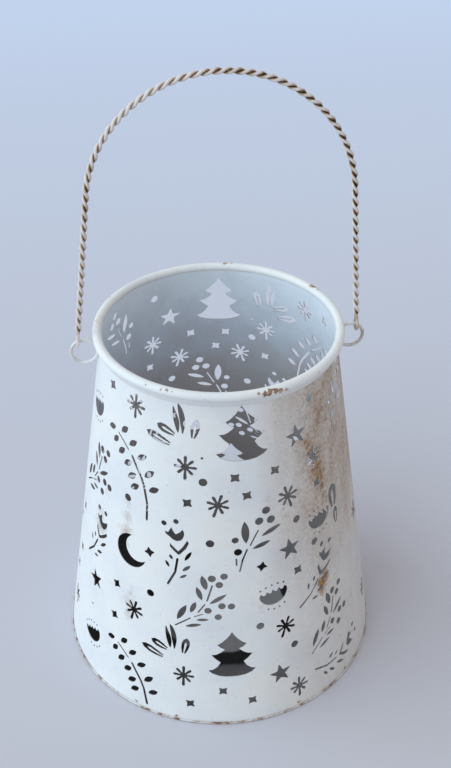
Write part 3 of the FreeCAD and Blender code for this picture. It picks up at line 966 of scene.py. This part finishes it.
def worn_edge():
    """The cut edges of the tin, where the paint is rubbed to brown primer."""
    material, tree, place = new_material("rubbed_cut_edge")
    wear = add(tree, "TexNoise", {"Vector": place, "Scale": 1 / (9 * mm), "Detail": 6})
    colour = add(
        tree, "ValToRGB", [wear],
        stops=[(0.36, "#7d6a60"), (0.52, "#a39a95"), (0.66, "#cfcfd2")],
    )
    return surfaced(material, colour, 0.6)


def worn_wire_with_painted_shade(wear):
    """White paint on twisted wire: it stays on the crests, and between them brown wire shows,
    darkened by painted shade in the twist's grooves.

    Hands have rubbed it most from the middle of the arch down its right side.
    """
    material, tree, place = new_material("worn_white_on_wire_with_painted_shade")
    crest = add(tree, "Attribute", out="Fac", attribute_name="crest")
    speck, broad, fine = (
        add(tree, "TexNoise", {"Vector": place, "Scale": 1 / size, "Detail": detail})
        for size, detail in ((3.5 * mm, 5), (22 * mm, 3), (0.6 * mm, 3))
    )
    edge = add(tree, "Math", [speck, 0.7, crest], operation="MULTIPLY_ADD")
    edge = add(tree, "Math", [broad, 0.3, edge], operation="MULTIPLY_ADD")
    # Painted shade: deep in the twist's grooves the colour goes dark brown, partly bare wire and
    # partly the shade that falls there.
    groove_wear_and_shade = add(tree, "Math", [1.5, edge], operation="SUBTRACT")
    for side, strength in ((-1, 0.4), (1, 0.75)):
        eye = near(tree, place, (side * hinge_reach, 0, hinge_height), 9 * mm, strength)
        groove_wear_and_shade = add(tree, "Math", [groove_wear_and_shade, eye], operation="ADD")
    rubbing = 1.0
    for spot in wear:
        rubbing = add(tree, "Math", [rubbing, near(tree, place, *spot)], operation="ADD")
    bare = add(tree, "Math", [groove_wear_and_shade, rubbing], operation="MULTIPLY")
    colour = add(
        tree, "ValToRGB", [add(tree, "MapRange", [bare, 1.45, 0.0])],
        stops=[
            (0.12, "#3b2a1b"), (0.40, "#7c6040"), (0.62, "#a88f72"), (0.80, "#c9bab0"),
            (0.95, "#ddd5d3"),
        ],
    )
    return surfaced(material, colour, 0.5, fine, 0.25)


def painted(obj, material):
    """Gives a piece one material and nothing else."""
    obj.data.materials.clear()
    obj.data.materials.append(material)
    return obj


# Wear: rows say where (degrees and millimetres), then a radius in millimetres and a strength


def round_axis(angle, reach, height):
    """A point from degrees round the front, a distance from the axis and a height."""
    turn = math.radians(angle)
    return (reach * math.sin(turn), -reach * math.cos(turn), height)


def on_wall(angle, height):
    return round_axis(angle, wall_radius(height * mm), height * mm)


def on_rim(angle, reach=59.3, height=189.4):
    return round_axis(angle, reach * mm, height * mm)


def on_arch(turn):
    """A point on the bail's arch: degrees from its right side over the top to its left."""
    turn = math.radians(turn)
    x = arch_sway + arch_radius * math.cos(turn)
    return (x, 0, hinge_height + arch_rise + arch_radius * math.sin(turn))


def spots(place, *rows):
    """Spots of wear in metres, each a point, a radius and a strength."""
    return [(place(*where), radius * mm, strength) for *where, radius, strength in rows]


rust_spots = spots(
    on_wall,
    (34, 155, 18, 0.52), (37, 149, 18, 0.62), (39, 142, 19, 0.66), (41, 134, 20, 0.66),
    (42.5, 126, 20, 0.6), (43.5, 117, 19, 0.5), (46, 161, 32, 0.62), (42, 173, 22, 0.5),
    (52, 148, 30, 0.5), (57, 132, 30, 0.42), (59, 110, 26, 0.36), (26, 128, 22, 0.4),
    (22, 119, 16, 0.38), (14, 131, 12, 0.3), (29, 164, 12, 0.32), (9, 71, 14, 0.36),
    (0, 75, 12, 0.34), (39, 72, 18, 0.52), (48, 30, 20, 0.28), (7, 149, 10, 0.3),
    (-48, 120, 10, 0.52), (-48, 113, 11, 0.58), (-47.5, 104, 11, 0.56), (-47, 97, 9, 0.5),
    (-43, 70, 10, 0.52), (-43.3, 63, 11, 0.58), (-43.5, 56, 10, 0.54), (-65, 102, 11, 0.5),
    (-65, 94, 12, 0.56), (-62, 119, 10, 0.5), (150, 120, 36, 0.44), (-150, 60, 34, 0.42),
    (95, 150, 34, 0.4), (-175, 165, 26, 0.38),
)
ochre_spots = spots(
    on_wall,
    (34.5, 154.5, 6, 0.52), (36, 151, 7, 0.54), (37.5, 147, 7, 0.56), (39, 142, 9, 0.58),
    (40, 137, 11, 0.64), (41, 131, 10, 0.64), (42, 125, 8, 0.54), (42.5, 119, 7, 0.46),
    (46, 166, 11, 0.46), (43, 174, 10, 0.46), (49, 158, 8, 0.42), (39.5, 74.5, 8, 0.62),
    (38.5, 70.5, 10, 0.74), (37.5, 65, 8, 0.62), (60, 98, 10, 0.44), (160, 100, 12, 0.5),
    (100, 140, 12, 0.46),
)
rim_chips = spots(
    on_rim,
    (10.5, 59.6, 189.3, 2.4, 0.52), (13, 59.8, 189, 3.3, 0.64), (15.5, 59.8, 188.8, 3.6, 0.68),
    (18, 59.8, 188.8, 3.4, 0.66), (20.5, 60, 188.4, 3.2, 0.62), (23, 60.2, 188, 2.8, 0.58),
    (-39, 59.4, 189.6, 2.4, 0.52), (-32, 59.4, 189.7, 2.6, 0.54), (-29, 59.2, 189.9, 2.4, 0.52),
    (-26.5, 59.4, 189.6, 1.8, 0.48), (170, 58.2, 190, 3.4, 0.72), (167, 58.4, 190, 2.4, 0.6),
    (-121, 59.2, 189.6, 2.2, 0.52), (103, 59.4, 189.6, 2, 0.48), (-160, 59.4, 189.4, 2.6, 0.5),
    (75, 59.6, 189.4, 2.2, 0.48), (-12, 60.2, 188, 1.6, 0.44), (42, 60, 188.6, 2, 0.46),
)
rim_ochre = spots(
    on_rim,
    (119, 58.4, 190.1, 4.4, 0.8), (115, 58.6, 190, 3.2, 0.64), (-103, 56.4, 188.4, 5, 0.36),
    (-96, 56.4, 188.6, 4, 0.34),
)
rim_rust = spots(on_rim, (-100, 56, 14, 0.4), (60, 26, 0.28), (95, 18, 0.26), (30, 18, 0.26))
for side, radius, strength in ((-1, 12 * mm, 0.70), (1, 14 * mm, 0.78)):
    rim_rust.append(((side * (ring_reach + 3 * mm), 0, ring_height), radius, strength))
wall_chips = spots(
    on_wall,
    (-38, 2.8, 4, 0.52), (-22, 2.5, 3, 0.5), (23, 3, 4, 0.5), (31, 156.5, 2, 0.4),
    (47, 2, 3, 0.5), (54, 2, 3, 0.5),
)
wire_wear = spots(
    on_arch,
    (92, 22, 0.5), (72, 24, 0.8), (50, 26, 0.9), (26, 28, 1), (4, 28, 1.1), (-14, 26, 0.9),
    (-30, 20, 0.6), (168, 28, 0.5), (192, 24, 0.4), (128, 36, -0.5), (212, 30, -0.2),
)

# The lantern

wall_paint = chalk_paint(
    "chalk_white_wall", rust_spots, ochre_spots, wall_chips, 9 * mm, 0.82, browner_side_angle=62
)
rim_paint = chalk_paint("chalk_white_rim", rim_rust, rim_ochre, rim_chips, 5 * mm, 0.76)
inside_primer_and_painted_light = primer_and_painted_light()
punched_edge = worn_edge()
pan_paint_and_painted_shade = pan_with_dark_ring_and_painted_shade()

wall = pierced_wall()
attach(wall, "lantern")
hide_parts("pierced_wall")

lap = painted(seam_lap(), wall_paint)
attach(lap, "lantern")

rim = painted(rolled_rim(), rim_paint)
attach(rim, "lantern")
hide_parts("rolled_rim")

pan = painted(pressed_pan(), pan_paint_and_painted_shade)
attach(pan, "lantern")
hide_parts("base_pan")

for side in (-1, 1):
    ring = painted(bail_ring(side), rim_paint)
    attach(ring, "lantern")
    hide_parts("bail_rings")

wire_paint_and_shade = worn_wire_with_painted_shade(wire_wear)
for name, node, front in (
    ("twisted_wire_front", "bail_strand_front", -1),
    ("twisted_wire_back", "bail_strand_back", 1),
):
    strand = painted(bail_strand(name, front), wire_paint_and_shade)
    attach(strand, "bail")
    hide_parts(node)

# Floor, light and camera


def studio_floor(size):
    """A wide seamless sheet of pale grey card, a little bluer far away."""
    nothing_selected()
    bpy.ops.mesh.primitive_plane_add(size=size, location=(0, 0, -0.05 * mm))
    floor = bpy.context.object
    floor.name = "studio_floor"
    material, tree, place = new_material("pale_grey_card")
    depth = add(tree, "SeparateXYZ", [place], out="Y")
    far = add(tree, "MapRange", [depth, -0.1, 1.15])
    colour = add(tree, "ValToRGB", [far], stops=[(0.0, "#c4c3cc"), (1.0, "#ccd8f0")])
    painted(floor, surfaced(material, colour, 0.8))


def window_light(heading, elevation, strength, spread, colour):
    """A large soft window: even light from one side, with wide soft shadows."""
    lamp = bpy.data.lights.new("window_light", "SUN")
    lamp.energy = strength
    lamp.angle = math.radians(spread)
    lamp.color = linear(colour)[:3]
    obj = bpy.data.objects.new("window_light", lamp)
    bpy.context.scene.collection.objects.link(obj)
    rise = math.radians(elevation)
    source = Vector(round_axis(heading, math.cos(rise), math.sin(rise)))
    obj.rotation_euler = source.to_track_quat("Z", "Y").to_euler()
    obj.location = source


def pale_room():
    """Even light from all round; the room itself looks as pale as the card."""
    world = bpy.data.worlds.new("pale_room")
    tree = emptied(world)
    light = add(tree, "Background", {"Color": linear("#e9e7e6"), "Strength": 0.72})
    seen = add(tree, "Background", {"Color": linear("#c0cde2"), "Strength": 1.0})
    ray = add(tree, "LightPath", out="Is Camera Ray")
    add(tree, "OutputWorld", [add(tree, "MixShader", [ray, light, seen])], out=None)
    bpy.context.scene.world = world


def photo_camera(place, dip, turn, lens):
    """The photo's camera: degrees down and round from +Y, millimetres of lens."""
    data = bpy.data.cameras.new("camera")
    data.sensor_width = 36
    data.lens = lens
    data.clip_start = 0.01
    camera = bpy.data.objects.new("camera", data)
    bpy.context.scene.collection.objects.link(camera)
    camera.location = place
    camera.rotation_euler = (math.radians(90 - dip), 0, math.radians(turn))
    bpy.context.scene.camera = camera


studio_floor(size=60)
window_light(heading=-77, elevation=32, strength=2.62, spread=84, colour="#d2e9f5")
pale_room()
photo_camera(place=(-0.0494, -0.4418, 0.4682), dip=35.23, turn=-6.8, lens=51.66)
bpy.context.scene.view_settings.view_transform = "Standard"
